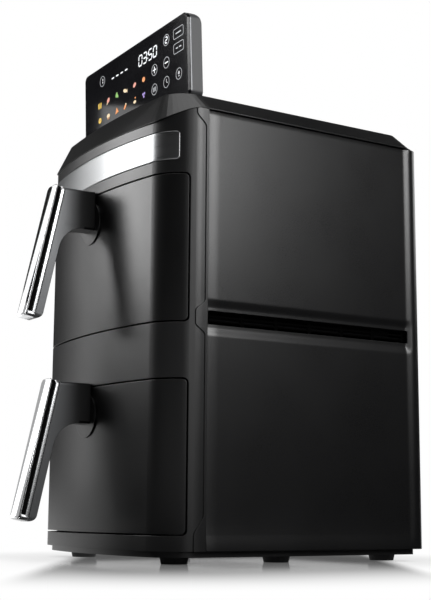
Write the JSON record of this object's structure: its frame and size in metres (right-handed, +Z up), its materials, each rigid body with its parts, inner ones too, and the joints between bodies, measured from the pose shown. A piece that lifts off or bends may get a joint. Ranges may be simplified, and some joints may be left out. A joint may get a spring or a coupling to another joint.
{
  "type": "air fryer",
  "caption": "Stacked two-drawer air fryer with chrome-faced handles, a chrome band, side air slots and a touch panel that tilts on the top deck.",
  "frame": {"origin": "middle of the overall width and of the overall depth with handles, on the surface that the feet stand on", "axes": "+X towards the right-hand side seen from behind the handles (viewer's right when facing the front), -Y towards the drawers' front, +Z up"},
  "size_m": [0.264, 0.3718, 0.5041],
  "materials": {
    "body_black": "fine-grained satin black moulded plastic",
    "drawer_black": "fine-textured matte black plastic",
    "chrome": "bright polished chrome plating",
    "handle_grey": "satin dark grey plastic with a metallic sheen",
    "gap_black": "glossy black plastic",
    "panel_glass": "glossy black touch glass with lit symbols",
    "panel_silver": "satin bright silver edge",
    "panel_grey": "satin grey plastic",
    "circuit_green": "green solder-resist circuit board",
    "steel_sheet": "plain zinc-plated sheet steel",
    "steel_bright": "bright turned steel",
    "heater_steel": "heat-tinted stainless steel tube",
    "pan_coating": "pressed aluminium under a dark non-stick coating",
    "rubber_black": "black rubber",
    "vent_black": "plain black plastic",
    "fan_grey": "plain aluminium"
  },
  "bodies": {
    "housing": {"base_plate": "body_black", "feet": "rubber_black", "front_frame": "body_black", "side_panel_left": "body_black", "side_panel_right": "body_black", "side_vent_left": "vent_black", "side_vent_right": "vent_black", "top_cover": "body_black", "chrome_band": "chrome", "rear_panel": "body_black", "exhaust_upper": "body_black", "exhaust_lower": "body_black", "cord_gland": "rubber_black", "mid_deck": "steel_sheet", "chamber_upper": "steel_sheet", "chamber_lower": "steel_sheet", "heater_upper": "heater_steel", "heater_lower": "heater_steel", "heater_guard_upper": "steel_bright", "heater_guard_lower": "steel_bright", "motor_upper": "steel_sheet", "motor_lower": "steel_sheet", "power_board": "circuit_green", "housing_screws": "steel_bright", "hinge_brackets": "steel_sheet"},
    "drawer_upper": {"drawer_front_upper": "drawer_black", "drawer_inner_upper": "drawer_black", "basket_upper": "pan_coating", "crisper_tray_upper": "pan_coating", "tray_bumpers_upper": "rubber_black", "handle_upper": "handle_grey", "grip_bezel_upper": "chrome", "grip_spacer_upper": "gap_black", "grip_face_upper": "chrome", "handle_rose_upper": "handle_grey", "handle_screws_upper": "steel_bright"},
    "drawer_lower": {"drawer_front_lower": "drawer_black", "drawer_inner_lower": "drawer_black", "basket_lower": "pan_coating", "crisper_tray_lower": "pan_coating", "tray_bumpers_lower": "rubber_black", "handle_lower": "handle_grey", "grip_bezel_lower": "chrome", "grip_spacer_lower": "gap_black", "grip_face_lower": "chrome", "handle_rose_lower": "handle_grey", "handle_screws_lower": "steel_bright"},
    "panel": {"panel_case": "panel_grey", "panel_trim": "panel_silver", "panel_glass": "panel_glass", "display_board": "circuit_green", "hinge_pins": "steel_bright"},
    "rotor_upper": {"motor_shaft_upper": "steel_bright", "hot_fan_upper": "fan_grey", "cooling_fan_upper": "vent_black"},
    "rotor_lower": {"motor_shaft_lower": "steel_bright", "hot_fan_lower": "fan_grey", "cooling_fan_lower": "vent_black"}
  },
  "joints": [
    {"name": "drawer_upper_slide", "type": "slide", "parent": "housing", "child": "drawer_upper", "axis": [0, -1, 0], "range_m": [0, 0.2]},
    {"name": "drawer_lower_slide", "type": "slide", "parent": "housing", "child": "drawer_lower", "axis": [0, -1, 0], "range_m": [0, 0.2]},
    {"name": "panel_tilt", "type": "hinge", "parent": "housing", "child": "panel", "pos_m": [0, -0.06109, 0.419], "axis": [-1, 0, 0], "range_deg": [0, 48]},
    {"name": "fan_upper_spin", "type": "hinge", "parent": "housing", "child": "rotor_upper", "pos_m": [0, 0.03832, 0.2835], "axis": [0, 0, 1], "continuous": true},
    {"name": "fan_lower_spin", "type": "hinge", "parent": "housing", "child": "rotor_lower", "pos_m": [0, 0.03832, 0.1], "axis": [0, 0, 1], "continuous": true}
  ]
}
